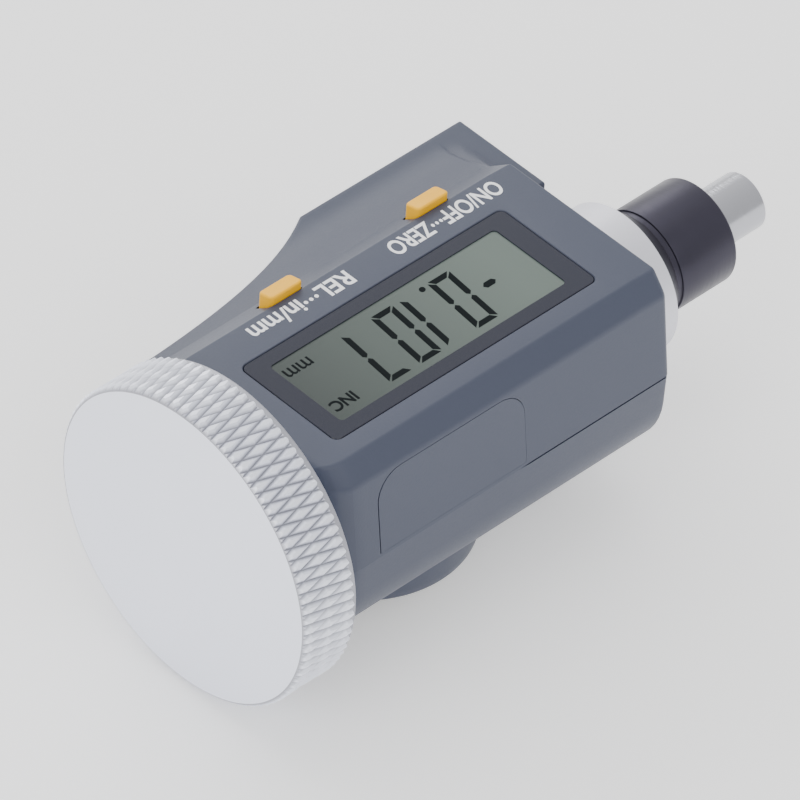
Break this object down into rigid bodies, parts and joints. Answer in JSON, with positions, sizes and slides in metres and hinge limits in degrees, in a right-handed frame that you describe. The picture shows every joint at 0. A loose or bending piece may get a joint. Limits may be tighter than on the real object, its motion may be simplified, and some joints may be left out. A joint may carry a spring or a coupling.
{
  "type": "digital micrometer head",
  "caption": "Digital micrometer head with a wide knurled thimble disc, display housing with keys and a plain clamping stem.",
  "frame": {"origin": "centre of the flat measuring face of the spindle at rest", "axes": "+X along the spindle axis out of the stem, +Z square to the display face, +Y towards the buttons and the wing"},
  "size_m": [0.0787, 0.0397, 0.0356],
  "materials": {
    "case_plastic": "fine moulded texture, dark blue-grey",
    "side_cover_plastic": "fine moulded texture, same colour as the case",
    "black_plastic": "moulded black",
    "button_yellow": "smooth moulded yellow-orange",
    "lens_mask": "clear hard window with a dark printed border",
    "lcd_glass": "reflective grey-green liquid crystal cell",
    "lcd_segments": "dark display segments",
    "label_white": "white pad print",
    "ground_steel": "ground and lapped hardened steel",
    "black_steel": "black oxide with a warm cast",
    "satin_aluminium": "matt bead-blasted clear anodised",
    "blasted_barrel": "fine sand-blasted light grey",
    "brass": "turned",
    "spring_steel": "bright stamped",
    "board": "green laminate",
    "flex": "amber film",
    "rubber_black": "moulded"
  },
  "bodies": {
    "housing": {"front_shell": "case_plastic", "rear_shell": "case_plastic", "side_cover": "side_cover_plastic", "case_screw_1": "black_steel", "case_screw_2": "black_steel", "case_screw_3": "black_steel", "case_screw_4": "black_steel", "display_lens": "lens_mask", "lcd_panel": "lcd_glass", "lcd_frame": "black_plastic", "zebra_connector": "rubber_black", "circuit_board": "board", "processor_chip": "black_plastic", "switch_board": "board", "zero_switch": "black_plastic", "unit_switch": "black_plastic", "battery_cell": "spring_steel", "battery_seal": "rubber_black", "positive_contact": "brass", "negative_contact": "brass", "stem": "black_steel", "barrel": "blasted_barrel", "encoder_stator": "board", "stator_flex": "flex", "wave_washer": "spring_steel", "rotor_bearing": "brass", "feed_nut": "brass", "adjusting_nut": "ground_steel", "data_socket": "black_plastic"},
    "encoder": {"encoder_rotor": "board", "rotor_key": "ground_steel"},
    "feed": {"spindle": "ground_steel", "thimble": "satin_aluminium", "thimble_screw": "ground_steel"},
    "zero_key": {"zero_button": "button_yellow"},
    "unit_key": {"unit_button": "button_yellow"},
    "battery_door": {"battery_cover": "black_plastic"}
  },
  "joints": [
    {"name": "thimble_turn", "type": "hinge", "parent": "housing", "child": "encoder", "pos_m": [0, 0, 0], "axis": [1, 0, 0], "range_deg": [-4320, 360]},
    {"name": "spindle_feed", "type": "slide", "parent": "encoder", "child": "feed", "axis": [1, 0, 0], "range_m": [-0.006, 0.0005]},
    {"name": "zero_press", "type": "slide", "parent": "housing", "child": "zero_key", "axis": [0, 0, -1], "range_m": [0, 0.0005], "stiffness_N_per_m": 400, "springref_m": -0.0005},
    {"name": "unit_press", "type": "slide", "parent": "housing", "child": "unit_key", "axis": [0, 0, -1], "range_m": [0, 0.0005], "stiffness_N_per_m": 400, "springref_m": -0.0005},
    {"name": "battery_cover_turn", "type": "hinge", "parent": "housing", "child": "battery_door", "pos_m": [-0.05231, 0.0019, -0.0132], "axis": [0, 0, -1], "range_deg": [0, 45]}
  ],
  "couplings": [
    {"joint": "thimble_turn", "follows": "spindle_feed", "rad_per_m": 12566}
  ]
}
